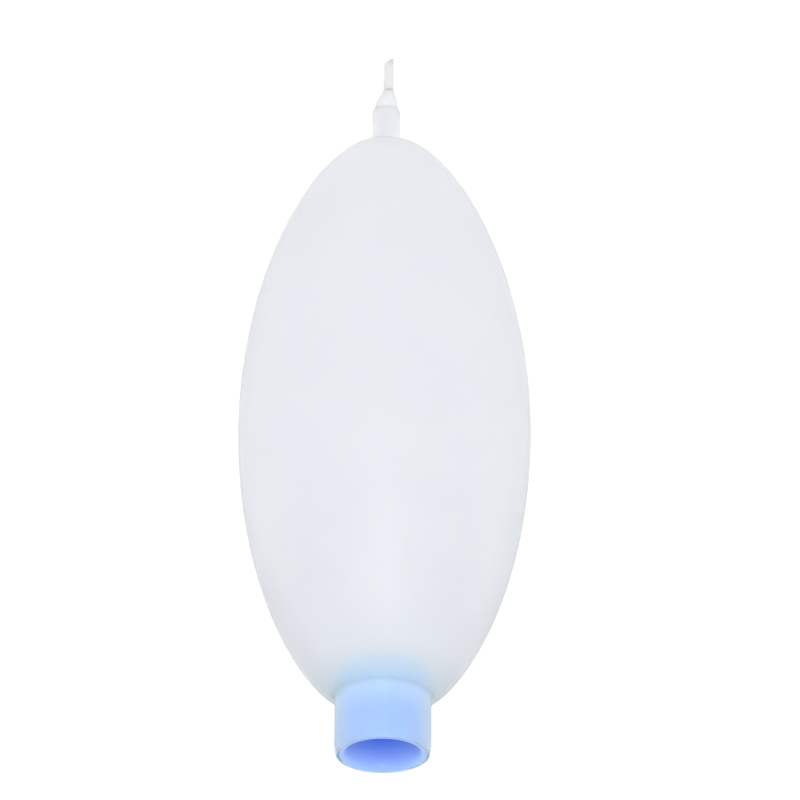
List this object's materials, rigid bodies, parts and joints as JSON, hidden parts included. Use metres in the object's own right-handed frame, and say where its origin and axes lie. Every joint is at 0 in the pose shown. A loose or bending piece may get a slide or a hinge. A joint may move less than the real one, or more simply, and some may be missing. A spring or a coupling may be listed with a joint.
{
  "type": "anaesthesia breathing bag",
  "caption": "Frosted reservoir bag for a breathing circuit, with a blue 22 mm socket bush at its neck and a tail tube closed by a stopper with a thin pull stem.",
  "frame": {"origin": "centre of the neck's mouth, in the plane of its end face", "axes": "+Z along the bag's axis from the neck to the tail, -Y towards the front wall that is pressed in, +X to the right seen from the front"},
  "size_m": [0.0914, 0.0914, 0.2457],
  "materials": {
    "bag_silicone": "frosted, milky translucent silicone with a soft satin sheen",
    "bush_blue": "satin moulded blue plastic",
    "plug_soft": "frosted soft plastic, a little greyer than the bag"
  },
  "bodies": {
    "neck": {"neck_bush": "bush_blue", "neck_sleeve": "bag_silicone", "neck_shoulder": "bag_silicone"},
    "bag": {"bag_wall": "bag_silicone", "tail_tube": "bag_silicone"},
    "front_wall": {"press_wall_front": "bag_silicone"},
    "rear_wall": {"press_wall_rear": "bag_silicone"},
    "plug": {"tail_plug": "plug_soft", "stem_root": "plug_soft"},
    "stem": {"tail_stem": "plug_soft"}
  },
  "joints": [
    {"name": "neck_bend", "type": "hinge", "parent": "neck", "child": "bag", "pos_m": [0, 0, 0.0202], "axis": [0, 1, 0], "range_deg": [-20, 20], "stiffness_Nm_per_rad": 0.3, "deforming": ["neck_shoulder"]},
    {"name": "squeeze_front", "type": "slide", "parent": "bag", "child": "front_wall", "axis": [0, 1, 0], "range_m": [0, 0.015], "stiffness_N_per_m": 60},
    {"name": "squeeze_rear", "type": "slide", "parent": "bag", "child": "rear_wall", "axis": [0, -1, 0], "range_m": [0, 0.015], "stiffness_N_per_m": 60},
    {"name": "plug_pull", "type": "slide", "parent": "bag", "child": "plug", "axis": [0, 0, 1], "range_m": [0, 0.014]},
    {"name": "stem_bend", "type": "hinge", "parent": "plug", "child": "stem", "pos_m": [0.0007, 0, 0.2351], "axis": [0, 1, 0], "range_deg": [-60, 60], "stiffness_Nm_per_rad": 0.002, "deforming": ["stem_root"]}
  ],
  "couplings": [
    {"joint": "squeeze_rear", "follows": "squeeze_front", "ratio": 1}
  ]
}
